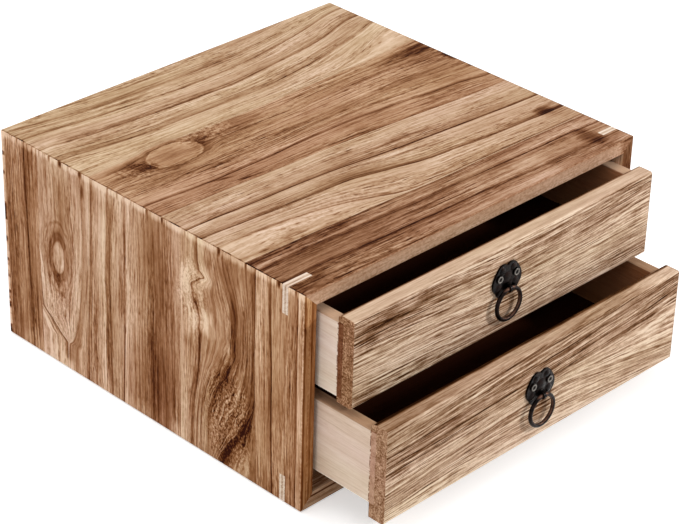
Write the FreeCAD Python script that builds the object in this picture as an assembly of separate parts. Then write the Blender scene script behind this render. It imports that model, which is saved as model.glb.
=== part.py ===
import FreeCAD, Part
import math
import os

V = FreeCAD.Vector

# Case of four mitred boards
case_width = 261.0
case_depth = 246.0
board_thick = 9.0
corner_ease = 0.8
mouth_ease = 0.6

# Loose keys let into the front of each mitre
key_thick = 4.4
key_setback = 12.1
key_leg_left = 17.0
key_leg_right = 12.5

# Back panel held in a groove
panel_thick = 4.0
panel_inset = 5.0
panel_groove = 4.0

# Shelf under the upper drawer and runners under the lower one
shelf_thick = 6.5
shelf_housing = 3.0
runner_height = 12.5
runner_width = 12.0
stop_gap = 0.3

# Fit of the drawers in the case
side_gap = 2.5
run_gap = 0.1
rim_gap = 1.8
rear_gap = 3.0
reveal = 0.8
foot_gap = 3.4

# How far each drawer stands out at rest
upper_pull = 23.8
lower_pull = 49.5

# Drawer boxes
side_height = 45.0
side_thick = 7.5
side_lap = 3.5
rim_ease = 0.8
back_thick = 7.0
floor_thick = 3.5
floor_raise = 4.0
floor_groove = 3.0

# Drawer front boards
front_thick = 11.0
front_reach = 4.2
face_top_round = 1.6
rear_top_round = 2.2
face_bottom_round = 1.6

# Pull plate
plate_width = 22.8
plate_height = 19.4
plate_thick = 1.2
plate_arch = 0.8
plate_notch = 1.3
upper_pull_rise = 8.1
lower_pull_rise = 6.8
upper_pull_shift = -3.0
lower_pull_shift = 0.5

# Relief of the plate, low domes on its sheet
middle_dome_radius = 4.2
middle_dome_height = 1.2
brow_dome_radius = 2.4
brow_dome_height = 0.9
cheek_dome_radius = 2.7
cheek_dome_height = 0.8

# Nails of the pull
nail_spread = 13.2
nail_drop = 7.6
nail_head_radius = 2.2
nail_head_height = 1.1
nail_dimple_radius = 1.0
nail_dimple_depth = 0.6
nail_shank_radius = 0.8
nail_length = 7.0

# Ring of the pull and the eye that it turns in
wire_radius = 1.2
ring_radius = 9.4
ring_plate_gap = 0.7
eye_thick = 0.8
eye_gap = 0.1
eye_width = 1.7
eye_drop = 7.2

# Plate outline from the notch at its top down one side, as shares of half the width and of the height
plate_arc_shares = [
    ((0.35, 0.00), (0.65, 0.12)),
    ((0.81, 0.25), (0.94, 0.39)),
    ((1.00, 0.53), (0.94, 0.71)),
    ((0.83, 0.80), (0.71, 0.88)),
    ((0.66, 0.94), (0.56, 1.00)),
]

# Middles of the domes, as the same shares
middle_dome_share = (0.00, 0.46)
brow_dome_share = (0.38, 0.18)
cheek_dome_share = (0.57, 0.69)

# Places that follow from the sizes
half_width = case_width / 2
y_front = -case_depth / 2
y_rear = case_depth / 2
opening_half = half_width - board_thick
y_shelf = y_front + front_thick + stop_gap
y_panel = y_rear - panel_inset - panel_thick
box_length = y_panel - rear_gap - y_front - front_thick
drawer_half = opening_half - side_gap

# Heights from the floor of the case up
z_runner = board_thick + runner_height
z_lower_side = z_runner + run_gap
z_lower_rim = z_lower_side + side_height
z_shelf = z_lower_rim + rim_gap
z_shelf_top = z_shelf + shelf_thick
z_upper_side = z_shelf_top + run_gap
z_upper_rim = z_upper_side + side_height
z_upper_front_top = z_upper_rim + front_reach
z_ceiling = z_upper_front_top + reveal
case_height = z_ceiling + board_thick
z_lower_front = board_thick + foot_gap
z_lower_front_top = z_lower_rim + front_reach
z_upper_front = z_lower_front_top + reveal

# Pull sizes that follow
eye_inner = wire_radius + eye_gap
eye_outer = eye_inner + eye_thick
pivot_out = plate_thick + ring_plate_gap + wire_radius
overrun = 1.0


def block(x0, x1, y0, y1, z0, z1):
    return Part.makeBox(x1 - x0, y1 - y0, z1 - z0, V(x0, y0, z0))


def prism(points, y0, y1):
    corners = [V(x, y0, z) for x, z in points]
    outline = Part.makePolygon(corners + corners[:1])
    return Part.Face(outline).extrude(V(0, y1 - y0, 0))


def frame_wire(half, z0, z1, y):
    corners = [V(-half, y, z0), V(half, y, z0), V(half, y, z1), V(-half, y, z1)]
    return Part.makePolygon(corners + corners[:1])


def save(name, shape):
    solids = shape.Solids
    result = solids[0] if len(solids) == 1 else Part.makeCompound(solids)
    result.exportStep("parts/" + name + ".step")
    valid = result.isValid()
    print(name, "solids", len(solids), "volume", round(result.Volume, 2), "valid", valid)


# Case

def case_envelope():
    body = block(-half_width, half_width, y_front, y_rear, 0, case_height)
    return body.makeFillet(corner_ease, body.Edges)


def mouth_bevel():
    ease = mouth_ease
    wide = frame_wire(opening_half + ease, board_thick - ease, z_ceiling + ease, y_front)
    snug = frame_wire(opening_half, board_thick, z_ceiling, y_front + ease)
    return Part.makeLoft([wide, snug], True)


def corner_key(side, z_corner, up, leg):
    x_corner = side * half_width
    points = [(x_corner, z_corner), (x_corner - side * leg, z_corner), (x_corner, z_corner + up * leg)]
    y0 = y_front + key_setback
    return prism(points, y0, y0 + key_thick)


def back_panel():
    reach = panel_groove
    half = opening_half + reach
    return block(-half, half, y_panel, y_panel + panel_thick, board_thick - reach, z_ceiling + reach)


def shelf():
    half = opening_half + shelf_housing
    return block(-half, half, y_shelf, y_panel, z_shelf, z_shelf_top)


def runner(side):
    near = side * opening_half
    far = side * (opening_half - runner_width)
    return block(min(near, far), max(near, far), y_shelf, y_panel, board_thick, z_runner)


def case_outlines():
    outer = half_width
    inner = opening_half
    top = case_height
    return {
        "case_top": [(-outer, top), (outer, top), (inner, z_ceiling), (-inner, z_ceiling)],
        "case_bottom": [(-outer, 0), (-inner, board_thick), (inner, board_thick), (outer, 0)],
        "case_left": [(-outer, 0), (-outer, top), (-inner, z_ceiling), (-inner, board_thick)],
        "case_right": [(outer, 0), (inner, board_thick), (inner, z_ceiling), (outer, top)],
    }


def build_case():
    envelope = case_envelope()
    keys = {
        "corner_key_top_left": corner_key(-1, case_height, -1, key_leg_left),
        "corner_key_top_right": corner_key(1, case_height, -1, key_leg_right),
        "corner_key_bottom_left": corner_key(-1, 0, 1, key_leg_left),
        "corner_key_bottom_right": corner_key(1, 0, 1, key_leg_right),
    }
    panel = back_panel()
    divider = shelf()
    cutters = list(keys.values()) + [panel, divider, mouth_bevel()]
    for name, outline in case_outlines().items():
        board = prism(outline, y_front, y_rear).common(envelope)
        save(name, board.cut(cutters))
    for name, key in keys.items():
        save(name, key.common(envelope))
    save("back_panel", panel)
    save("divider_shelf", divider)
    save("lower_runner_left", runner(-1))
    save("lower_runner_right", runner(1))


# Drawers

def rounded_front(y_face, z0, z1):
    y_back = y_face + front_thick
    bottom = face_bottom_round
    crest = face_top_round
    rear = rear_top_round
    diagonal = math.sqrt(0.5)

    def corner(yc, zc, radius, dy, dz):
        return V(-drawer_half, yc + dy * radius * diagonal, zc + dz * radius * diagonal)

    def point(y, z):
        return V(-drawer_half, y, z)

    edges = [
        Part.makeLine(point(y_back, z0), point(y_face + bottom, z0)),
        Part.Arc(point(y_face + bottom, z0), corner(y_face + bottom, z0 + bottom, bottom, -1, -1),
                 point(y_face, z0 + bottom)).toShape(),
        Part.makeLine(point(y_face, z0 + bottom), point(y_face, z1 - crest)),
        Part.Arc(point(y_face, z1 - crest), corner(y_face + crest, z1 - crest, crest, -1, 1),
                 point(y_face + crest, z1)).toShape(),
        Part.makeLine(point(y_face + crest, z1), point(y_back - rear, z1)),
        Part.Arc(point(y_back - rear, z1), corner(y_back - rear, z1 - rear, rear, 1, 1),
                 point(y_back, z1 - rear)).toShape(),
        Part.makeLine(point(y_back, z1 - rear), point(y_back, z0)),
    ]
    return Part.Face(Part.Wire(edges)).extrude(V(2 * drawer_half, 0, 0))


def side_block(side, y_back, z_side):
    outer = side * drawer_half
    inner = side * (drawer_half - side_thick)
    y0 = y_back - side_lap
    return block(min(outer, inner), max(outer, inner), y0, y_back + box_length, z_side, z_side + side_height)


def eased_rim(board):
    top = board.BoundBox.ZMax
    long_edges = [e for e in board.Edges if e.BoundBox.ZMin > top - rim_ease and e.BoundBox.YLength > side_thick]
    return board.makeFillet(rim_ease, long_edges)


def build_drawer(level, pull, heights, pull_shift, pull_rise):
    z_side, z_front, z_front_top = heights
    y_face = y_front - pull
    y_back = y_face + front_thick
    y_end = y_back + box_length
    inner_half = drawer_half - side_thick
    z_floor = z_side + floor_raise
    floor_half = inner_half + floor_groove
    floor = block(-floor_half, floor_half, y_back - floor_groove, y_end, z_floor, z_floor + floor_thick)
    left = side_block(-1, y_back, z_side)
    right = side_block(1, y_back, z_side)
    back = block(-inner_half, inner_half, y_end - back_thick, y_end, z_floor + floor_thick, z_side + side_height)
    front = rounded_front(y_face, z_front, z_front_top).cut([left, right, floor])
    middle = V(pull_shift, y_face, (z_front + z_front_top) / 2 + pull_rise)
    save(level + "_drawer_front", front.cut(nail_shanks(middle)))
    save(level + "_drawer_left_side", eased_rim(left).cut(floor))
    save(level + "_drawer_right_side", eased_rim(right).cut(floor))
    save(level + "_drawer_back", back)
    save(level + "_drawer_bottom", floor)
    save(level + "_pull_plate", pull_plate(middle))
    save(level + "_pull_nails", Part.makeCompound(nails(middle)))
    save(level + "_pull_ring", pull_ring(middle))


# Pulls, each placed by the point of the drawer face midway between its two nails

def plate_spot(top, side, share):
    return top + V(side * share[0] * plate_width / 2, 0, -share[1] * plate_height)


def plate_outline(top):
    edges = []
    for side in (1, -1):
        start = top - V(0, 0, plate_notch)
        for middle_share, end_share in plate_arc_shares:
            end = plate_spot(top, side, end_share)
            edges.append(Part.Arc(start, plate_spot(top, side, middle_share), end).toShape())
            start = end
    tips = [plate_spot(top, side, plate_arc_shares[-1][1]) for side in (-1, 1)]
    arch = top - V(0, 0, plate_height - plate_arch)
    edges.append(Part.Arc(tips[0], arch, tips[1]).toShape())
    return Part.Wire(Part.__sortEdges__(edges))


def dome(radius, height, base):
    ball_radius = (radius ** 2 + height ** 2) / (2 * height)
    ball = Part.makeSphere(ball_radius, base + V(0, ball_radius - height, 0))
    reach = radius + height
    around = block(base.x - reach, base.x + reach, base.y - reach, base.y, base.z - reach, base.z + reach)
    return ball.common(around)


def relief(top):
    domes = [dome(middle_dome_radius, middle_dome_height, plate_spot(top, 1, middle_dome_share))]
    for side in (-1, 1):
        domes.append(dome(brow_dome_radius, brow_dome_height, plate_spot(top, side, brow_dome_share)))
        domes.append(dome(cheek_dome_radius, cheek_dome_height, plate_spot(top, side, cheek_dome_share)))
    return domes


def eye(pivot, y_sheet):
    x0 = pivot.x - eye_width / 2
    start = V(x0, pivot.y, pivot.z)
    roll = Part.makeCylinder(eye_outer, eye_width, start, V(1, 0, 0))
    tongue = block(x0, x0 + eye_width, pivot.y, y_sheet, pivot.z, pivot.z + eye_outer)
    bore_start = start - V(overrun, 0, 0)
    return roll.fuse(tongue).cut(Part.makeCylinder(eye_inner, eye_width + 2 * overrun, bore_start, V(1, 0, 0)))


def ring_pivot(middle):
    return middle - V(0, pivot_out, eye_drop)


def pull_plate(middle):
    top = middle + V(0, 0, nail_drop)
    sheet = Part.Face(plate_outline(top)).extrude(V(0, -plate_thick, 0))
    raised = relief(top - V(0, plate_thick, 0))
    raised.append(eye(ring_pivot(middle), middle.y - plate_thick))
    return sheet.fuse(raised).removeSplitter().cut(nails(middle))


def nail_places(middle):
    return [middle + V(side * nail_spread / 2, -plate_thick, 0) for side in (-1, 1)]


def nail_shanks(middle):
    return [Part.makeCylinder(nail_shank_radius, nail_length, place, V(0, 1, 0)) for place in nail_places(middle)]


def nails(middle):
    head = nail_head_height
    dent = head - nail_dimple_depth
    rim = (nail_dimple_radius + nail_head_radius) / 2
    profile = [
        Part.makeLine(V(0, 0, 0), V(nail_head_radius, 0, 0)),
        Part.Arc(V(nail_head_radius, 0, 0), V(rim, -head, 0), V(nail_dimple_radius, -dent, 0)).toShape(),
        Part.makeLine(V(nail_dimple_radius, -dent, 0), V(0, -dent, 0)),
        Part.makeLine(V(0, -dent, 0), V(0, 0, 0)),
    ]
    top = Part.Face(Part.Wire(profile)).revolve(V(0, 0, 0), V(0, 1, 0), 360)
    shanks = nail_shanks(middle)
    return [top.translated(place).fuse(shank).removeSplitter() for place, shank in zip(nail_places(middle), shanks)]


def pull_ring(middle):
    centre = ring_pivot(middle) - V(0, 0, ring_radius)
    return Part.makeTorus(ring_radius, wire_radius, centre, V(0, 1, 0))


def main():
    os.makedirs("parts", exist_ok=True)
    build_case()
    upper_heights = (z_upper_side, z_upper_front, z_upper_front_top)
    lower_heights = (z_lower_side, z_lower_front, z_lower_front_top)
    build_drawer("upper", upper_pull, upper_heights, upper_pull_shift, upper_pull_rise)
    build_drawer("lower", lower_pull, lower_heights, lower_pull_shift, lower_pull_rise)


main()
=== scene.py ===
import bpy
from mathutils import Matrix, Vector

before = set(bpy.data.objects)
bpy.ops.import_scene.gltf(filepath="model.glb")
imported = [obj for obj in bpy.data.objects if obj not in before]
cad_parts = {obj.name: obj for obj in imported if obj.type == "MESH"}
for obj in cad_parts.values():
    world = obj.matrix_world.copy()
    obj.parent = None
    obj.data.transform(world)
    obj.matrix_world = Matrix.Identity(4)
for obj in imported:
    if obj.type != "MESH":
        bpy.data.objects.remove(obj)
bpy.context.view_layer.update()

scene = bpy.context.scene
scene.view_settings.view_transform = "Standard"

# camera, solved on the corners of the case in the photo
cameraSetup = {
    "place": (-0.868394, -0.863699, 0.765868),
    "right": (0.7075233, -0.7062092, 0.0260626),
    "down": (-0.3408386, -0.3733153, -0.8628237),
    "forward": (0.6190637, 0.6015847, -0.5048326),
    "lens": 128.777,
    "sensorWidth": 36.0,
    "clipStart": 0.05,
}


def placeCamera(setup):
    bpy.ops.object.camera_add(location=setup["place"])
    camera = bpy.context.object
    camera.name = "viewCamera"
    camera.data.lens = setup["lens"]
    camera.data.sensor_width = setup["sensorWidth"]
    camera.data.clip_start = setup["clipStart"]
    columns = (Vector(setup["right"]), -Vector(setup["down"]), -Vector(setup["forward"]))
    turn = Matrix(columns).transposed().to_4x4()
    camera.matrix_world = Matrix.Translation(Vector(setup["place"])) @ turn
    scene.camera = camera
    print("camera placed")


placeCamera(cameraSetup)

# node helpers


def hue(code):  # a screen colour in hex, as linear light
    parts = [int(code[i:i + 2], 16) / 255 for i in (0, 2, 4)]
    return tuple(c / 12.92 if c < 0.04045 else ((c + 0.055) / 1.055) ** 2.4 for c in parts) + (1.0,)


def feed(tree, socket, value):
    if isinstance(value, bpy.types.NodeSocket):
        tree.links.new(value, socket)
    else:
        socket.default_value = value


def addNode(tree, kind, values=None, **settings):
    made = tree.nodes.new("ShaderNode" + kind)
    for name, setting in settings.items():
        setattr(made, name, setting)
    for socket, value in (values or {}).items():
        feed(tree, made.inputs[socket], value)
    return made


def calc(tree, operation, *values):
    return addNode(tree, "Math", dict(enumerate(values)), operation=operation).outputs[0]


def times(tree, first, second):
    return calc(tree, "MULTIPLY", first, second)


def minus(tree, first, second):
    return calc(tree, "SUBTRACT", first, second)


def addUp(tree, first, *others):
    for other in others:
        first = calc(tree, "ADD", first, other)
    return first


def swing(tree, noise, weight):  # a noise of 0 to 1, moved to swing around 0
    return calc(tree, "MULTIPLY_ADD", noise, weight, -weight / 2)


def vectorCalc(tree, operation, *values):
    made = addNode(tree, "VectorMath", dict(enumerate(values)), operation=operation)
    return made.outputs["Value" if operation in ("LENGTH", "DOT_PRODUCT") else "Vector"]


def joined(tree, *values):
    return addNode(tree, "CombineXYZ", dict(enumerate(values))).outputs[0]


def parted(tree, vector):
    return addNode(tree, "SeparateXYZ", {0: vector}).outputs


def remap(tree, value, low, high, toLow=0.0, toHigh=1.0, style="LINEAR"):
    values = {"Value": value, "From Min": low, "From Max": high, "To Min": toLow, "To Max": toHigh}
    return addNode(tree, "MapRange", values, interpolation_type=style).outputs["Result"]


def crisp(tree, noise, reach):
    return remap(tree, noise, 0.5 - reach, 0.5 + reach, style="SMOOTHSTEP")


def noiseAt(tree, vector, kind, length=1.0):  # kind is a name in noises, or a row like theirs
    along, across, into, detail, roughness = noises.get(kind, kind)
    stretched = vectorCalc(tree, "MULTIPLY", vector, (along / length, across, into))
    values = {"Vector": stretched, "Scale": 1.0, "Detail": detail, "Roughness": roughness}
    return addNode(tree, "TexNoise", values).outputs[0]


def rampOf(tree, value, stops, colours=True):
    made = addNode(tree, "ValToRGB", {0: value})
    band = made.color_ramp
    while len(band.elements) < len(stops):
        band.elements.new(0.5)
    for element, (position, shade) in zip(band.elements, stops):
        element.position = position
        element.color = hue(shade) if colours else (shade, shade, shade, 1.0)
    return made.outputs["Color"]


def curveThrough(tree, value, spots, handles):
    made = addNode(tree, "FloatCurve", {"Value": value})
    curve = made.mapping.curves[0]
    curve.points[0].location = spots[0]
    curve.points[-1].location = spots[-1]
    for spot in spots[1:-1]:
        curve.points.new(*spot)
    for point in curve.points:
        point.handle_type = handles
    made.mapping.update()
    return made.outputs[0]


def mixColour(tree, share, first, second, mode="MIX"):
    values = {0: share, 6: first, 7: second}
    return addNode(tree, "Mix", values, data_type="RGBA", blend_type=mode).outputs[2]


def mixFloat(tree, share, first, second):
    return addNode(tree, "Mix", {0: share, 2: first, 3: second}, data_type="FLOAT").outputs[0]


def newFinish(name):
    finish = bpy.data.materials.new(name)
    finish.use_nodes = True
    shader = next(n for n in finish.node_tree.nodes if n.type == "BSDF_PRINCIPLED")
    return finish, finish.node_tree, shader


def roughen(tree, shader, relief, bump):
    strength, distance = bump
    made = addNode(tree, "Bump", {"Strength": strength, "Distance": distance, "Height": relief})
    feed(tree, shader.inputs["Normal"], made.outputs[0])


def dress(nodeName, finish):
    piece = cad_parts[nodeName]
    piece.data.materials.clear()
    piece.data.materials.append(finish)


# stage
stageSetup = {
    "floorSize": 8.0,
    "floorDrop": 0.0004,
    "floorTint": "F2F2F2",
    "floorRoughness": 0.9,
    "floorLift": 0.45,
    "worldTint": "FFFFFF",
    "worldStrength": 0.45,
    "lamps": [  # name, place, size and power
        ("overheadLamp", (-0.35, 0.25, 1.60), 1.10, 11.2),
        ("rightLamp", (1.05, -1.15, 0.80), 0.18, 14.0),
        ("leftLamp", (-1.70, -0.35, 0.70), 0.90, 5.8),
    ],
    "lampAim": (0.0, -0.02, 0.06),
}


def whiteForView(tree):
    paths = addNode(tree, "LightPath")
    seen = calc(tree, "MAXIMUM", paths.outputs["Is Camera Ray"], paths.outputs["Is Glossy Ray"])
    return calc(tree, "MAXIMUM", seen, paths.outputs["Is Transmission Ray"])


def buildStage(setup):
    bpy.ops.object.select_all(action="DESELECT")
    bpy.ops.mesh.primitive_plane_add(size=setup["floorSize"], location=(0, 0, -setup["floorDrop"]))
    floor = bpy.context.object
    floor.name = "studioFloor"
    bpy.ops.object.transform_apply(location=True, rotation=True, scale=True)
    finish, tree, shader = newFinish("floorPaper")
    shader.inputs["Base Color"].default_value = hue(setup["floorTint"])
    shader.inputs["Roughness"].default_value = setup["floorRoughness"]
    shader.inputs["Specular IOR Level"].default_value = 0.0
    shader.inputs["Emission Color"].default_value = (1, 1, 1, 1)
    feed(tree, shader.inputs["Emission Strength"],
         times(tree, whiteForView(tree), setup["floorLift"]))
    floor.data.materials.append(finish)

    world = bpy.data.worlds.new("studioWorld")
    world.use_nodes = True
    scene.world = world
    tree = world.node_tree
    back = next(n for n in tree.nodes if n.type == "BACKGROUND")
    back.inputs["Color"].default_value = hue(setup["worldTint"])
    feed(tree, back.inputs["Strength"],
         remap(tree, whiteForView(tree), 0.0, 1.0, setup["worldStrength"], 1.0))

    for name, place, size, power in setup["lamps"]:
        bpy.ops.object.light_add(type="AREA", location=place)
        lamp = bpy.context.object
        lamp.name = name
        lamp.data.size = size
        lamp.data.energy = power
        aim = Vector(setup["lampAim"]) - Vector(place)
        lamp.rotation_euler = aim.to_track_quat("-Z", "Y").to_euler()
    print("stage built")


buildStage(stageSetup)

# wood
# tone 0 is the darkest brown of a ring line and tone 1 the palest early wood
toneSteps = (0.0, 0.12, 0.28, 0.42, 0.55, 0.68, 0.8, 0.9, 1.0)
woodTones = list(zip(toneSteps, ("2C1004", "4E2812", "71492D", "8F6648", "AC8566", "C19F81",
                                 "D1B196", "DCBFA5", "E8CCB6")))
wallTones = list(zip(toneSteps, ("300D02", "562A0F", "764727", "926342", "AE8160", "C8A183",
                                 "DCB99E", "EACBB2", "F6DBC3")))
frontTones = list(zip(toneSteps, ("2A1305", "4E3015", "6F4A30", "856247", "A48369", "BC9D84",
                                  "D0B39A", "DEC3AB", "EDD6BF")))
paleTones = [(0.0, "7C5440"), (0.3, "B4927C"), (0.55, "D8BEAA"), (0.75, "E6D0C0"), (1.0, "F4E4D8")]
toMillimetres = (1000.0, 1000.0, 1000.0)

# noises: scales per millimetre along, across and into the piece, then detail and roughness
noises = {
    "sway": (0.016, 0.05, 0.02, 2, 0.5),
    "ragged": (0.09, 0.12, 0.1, 3, 0.5),
    "streak": (0.007, 0.4, 0.25, 4, 0.6),
    "fibre": (0.026, 0.8, 0.6, 3, 0.6),
    "fine": (0.11, 1.45, 1.2, 2, 0.6),
    "pores": (0.13, 1.3, 1.3, 1, 0.5),
    "specks": (0.4, 0.55, 0.45, 2, 0.5),
    "mottle": (0.022, 0.04, 0.03, 3, 0.5),
    "calm": (0.012, 0.07, 0.05, 2, 0.5),
    "wander": (0.07, 0.3, 0.1, 3, 0.5),
    "tint": (0.006, 0.045, 0.03, 3, 0.5),
    "ringDrift": (0.01, 0.16, 0.1, 2, 0.5),
    "ringStrength": (0.02, 0.3, 0.2, 2, 0.5),
    "hairDrift": (0.01, 0.22, 0.15, 3, 0.55),
    "hairBreaks": (0.035, 0.4, 0.2, 2, 0.5),
    "dots": (0.55, 0.55, 0.55, 1, 0.5),
    "nickRim": (0.35, 1, 1, 3, 0.5),
    "nickCuts": (0.16, 1, 1, 1, 0.5),
    "endCoarse": (0.3, 0.22, 1, 3, 0.5),
    "endFine": (1.15, 0.85, 1, 2, 0.7),
    "ironPatches": (0.35, 0.35, 0.35, 3, 0.5),
    "ironDents": (0.8, 0.8, 0.8, 2, 0.5),
    "ironGrit": (3.5, 3.5, 3.5, 2, 0.5),
}

# what a board has where its own look says nothing else
plainLook = {
    "palette": woodTones, "lift": 0, "lean": 0.35, "sway": 2.4, "length": 1,
    "streak": 0.55, "fibre": 0.8, "fine": 0.75, "specks": 0.07, "mottle": 0.45, "pores": 0.22,
    "calm": (0.55, 1.45), "rings": (3.6, 0.22), "waver": 2.6, "hairs": (3, 0.14),
    "knots": (), "burls": (), "marks": (), "curls": (),
    "nicks": (), "flats": (), "bands": (), "tints": (),
}

# what all the boards share; a range of two or four numbers goes to remap
wood = {
    "raggedRange": (0.2, 0.8, 0.86, 1.14),
    "knotDepth": 0.01, "knotPullFrom": 0.9, "knotGrain": 0.7,
    "burlFade": (0.5, 1.2, 1, 0), "burlNoise": (1.5, 2, 0.5),  # stretch, detail, roughness
    "stripStep": 211,  # added to the flow of each further strip, so that no two share a noise
    "stripJoin": 0.0006, "lineWidth": 1.2, "leastGap": 0.5,
    "crispness": {"fibre": 0.15, "fine": 0.17, "specks": 0.2, "curls": 0.2}, "crispShare": 0.33,
    "calmRange": (0.38, 0.62), "poreRange": (0.58, 0.7),
    "markFade": (0.15, 1), "wanderMiddle": 0.5,
    "curlFade": (0.55, 1.1), "curlNoise": (1.2, 3, 0.65), "curlMiddle": 0.55,
    "limitBlur": 0.15, "flatBlur": 0.3,
    "tintRange": (0.35, 0.65), "tints": ("FFFBFA", "FDFDF4"),
    "roughness": (-0.5, 0.5, 0.66, 0.46), "gloss": 0.02,
    "poreRelief": 3, "bump": (0.35, 0.0003),
    "bandCore": 0.5, "dotRange": (0.42, 0.56),
    "nickCore": 0.4, "nickRange": (0.56, 0.66),
    "endFade": (0.5, 0.25), "endCoarse": 0.7,
}

# a ring line: where its tones lie, in widths of the line, and the share left of its own tone
# where it has faded
lineShape = {"before": -0.55, "start": -0.18, "end": 0.22, "fade": 0.7, "left": 0.45, "after": 2.2}
ringShape = {"late": (0, 0.42, 1, 0), "early": (0.93, 1), "strength": (0.35, 0.62), "rest": 0.25}
hairShape = {"crowding": 2, "line": (0.02, 0.16, 1, 0), "breaks": (0.36, 0.6)}


def placesOn(tree, look):
    coords = addNode(tree, "TexCoord").outputs["Object"]
    axes = dict(zip("xyz", parted(tree, vectorCalc(tree, "MULTIPLY", coords, toMillimetres))))
    along, across, through = (axes[letter] for letter in look["axes"])
    depth = minus(tree, through, look["face"])
    leaning = calc(tree, "MULTIPLY_ADD", depth, look["lean"], across)
    point = joined(tree, along, leaning, depth)
    return {"along": along, "across": leaning, "depth": depth, "point": point, "axes": axes}


def beyond(tree, place, axis, limit, side, blur=wood["limitBlur"]):
    past = times(tree, minus(tree, place["axes"][axis], limit), side)
    return remap(tree, past, -blur, blur)


def guideAt(tree, share, points, span, rise):
    spots = sorted(((u - span[0]) / (span[1] - span[0]), (v - rise[0]) / (rise[1] - rise[0]))
                   for u, v in points)
    if spots[0][0] > 0.0:
        spots.insert(0, (0.0, spots[0][1]))
    if spots[-1][0] < 1.0:
        spots.append((1.0, spots[-1][1]))
    return curveThrough(tree, share, spots, "AUTO_CLAMPED")


def meanHeight(points):
    if len(points) == 1:
        return points[0][1]
    area = sum((b[0] - a[0]) * (a[1] + b[1]) / 2 for a, b in zip(points, points[1:]))
    return area / (points[-1][0] - points[0][0])


def stripFlow(tree, strip, share, height, look):
    guides = strip["guides"]
    curves = [guideAt(tree, share, points, look["span"], look["rise"]) for points, _ in guides]
    levels = [meanHeight(points) for points, _ in guides]
    gaps = [max(high - low, wood["leastGap"]) for low, high in zip(levels, levels[1:])]
    flow = addUp(tree, *(remap(tree, height, low, high, 0.0, gap)
                         for low, high, gap in zip(curves, curves[1:], gaps)))
    width = strip.get("line", wood["lineWidth"])
    spot = {name: size * width for name, size in lineShape.items()}
    left = lineShape["left"]
    stops = []
    reached = 0.0
    for index, (_, (before, line, after)) in enumerate(guides):
        if index > 0:
            stops.append((reached + spot["before"], before))
        if 0 < index < len(gaps):
            stops += [(reached + spot["start"], line), (reached + spot["end"], line)]
            stops.append((reached + spot["fade"], line * left + after * (1 - left)))
        if index < len(gaps):
            stops.append((reached + (spot["after"] if index else 0.0), after))
            reached += gaps[index]
    stops = sorted((min(max(reach / reached, 0.0), 1.0), tone) for reach, tone in stops)
    tone = curveThrough(tree, calc(tree, "DIVIDE", flow, reached), stops, "VECTOR")
    return flow, tone, curves[0]


def layStrips(tree, look, place, height):
    share = remap(tree, place["along"], *look["span"])
    level = remap(tree, height, *look["rise"])
    join = wood["stripJoin"]
    casts = look.get("casts", ["FFFFFF"] * len(look["strips"]))
    for index, (strip, code) in enumerate(zip(look["strips"], casts)):
        stripRun, stripTone, edge = stripFlow(tree, strip, share, level, look)
        stripRun = calc(tree, "ADD", stripRun, wood["stripStep"] * index)
        if "fade" in strip:
            fade = remap(tree, place["along"], *look["span"], *strip["fade"])
            stripTone = calc(tree, "ADD", stripTone, fade)
        if index == 0:
            tone, flow, cast = stripTone, stripRun, hue(code)
            continue
        over = minus(tree, level, edge)
        soft = strip.get("soft", join)
        inside = remap(tree, over, -join, join)
        tone = mixFloat(tree, remap(tree, over, -soft, soft), tone, stripTone)
        flow = mixFloat(tree, inside, flow, stripRun)
        cast = mixColour(tree, inside, cast, hue(code))
    return tone, flow, cast


def knotField(tree, at, half, point, ragged):
    shifted = vectorCalc(tree, "SUBTRACT", point, (*at, 0.0))
    shrink = (1 / half[0], 1 / half[1], wood["knotDepth"])
    shrunk = vectorCalc(tree, "MULTIPLY", shifted, shrink)
    return times(tree, vectorCalc(tree, "LENGTH", shrunk), ragged)


def bentHeight(tree, look, place, ragged):
    point = place["point"]
    sway = noiseAt(tree, point, "sway")
    height = calc(tree, "MULTIPLY_ADD", sway, look["sway"], place["across"])
    height = minus(tree, height, look["sway"] / 2)
    fields = []
    for knot in look["knots"]:
        field = knotField(tree, knot["at"], knot["half"], point, ragged)
        fields.append(field)
        pullFrom = wood["knotPullFrom"]
        pull = remap(tree, field, pullFrom, knot["reach"], knot["push"], 0.0, "SMOOTHSTEP")
        offset = minus(tree, height, knot["at"][1])
        height = minus(tree, height, times(tree, offset, pull))
    for at, half, push, scale in look["burls"]:
        field = knotField(tree, at, half, point, ragged)
        stretch, *detail = wood["burlNoise"]
        swirl = noiseAt(tree, point, (scale, scale * stretch, scale, *detail))
        swirl = swing(tree, swirl, push)
        inside = remap(tree, field, *wood["burlFade"], "SMOOTHSTEP")
        height = calc(tree, "MULTIPLY_ADD", swirl, inside, height)
    return height, fields


def fineRings(tree, bed, flow, look):
    pitch, weight = look["rings"]
    drift = noiseAt(tree, bed, "ringDrift")
    turns = calc(tree, "MULTIPLY_ADD", drift, look["waver"], calc(tree, "DIVIDE", flow, pitch))
    phase = calc(tree, "FRACT", turns)
    late = remap(tree, phase, *ringShape["late"])
    early = remap(tree, phase, *ringShape["early"])
    patches = noiseAt(tree, bed, "ringStrength")
    strength = remap(tree, patches, *ringShape["strength"], 0.0, -weight)
    dark = calc(tree, "MAXIMUM", late, early)
    return calc(tree, "MULTIPLY_ADD", dark, strength, weight * ringShape["rest"])


def hairLines(tree, bed, look):
    crowd, weight = look["hairs"]
    drift = noiseAt(tree, bed, "hairDrift")
    phase = calc(tree, "FRACT", times(tree, drift, crowd * hairShape["crowding"]))
    off = calc(tree, "ABSOLUTE", minus(tree, phase, 0.5))
    patches = noiseAt(tree, bed, "hairBreaks")
    broken = remap(tree, patches, *hairShape["breaks"], 0.0, -weight)
    return times(tree, remap(tree, off, *hairShape["line"]), broken)


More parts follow.
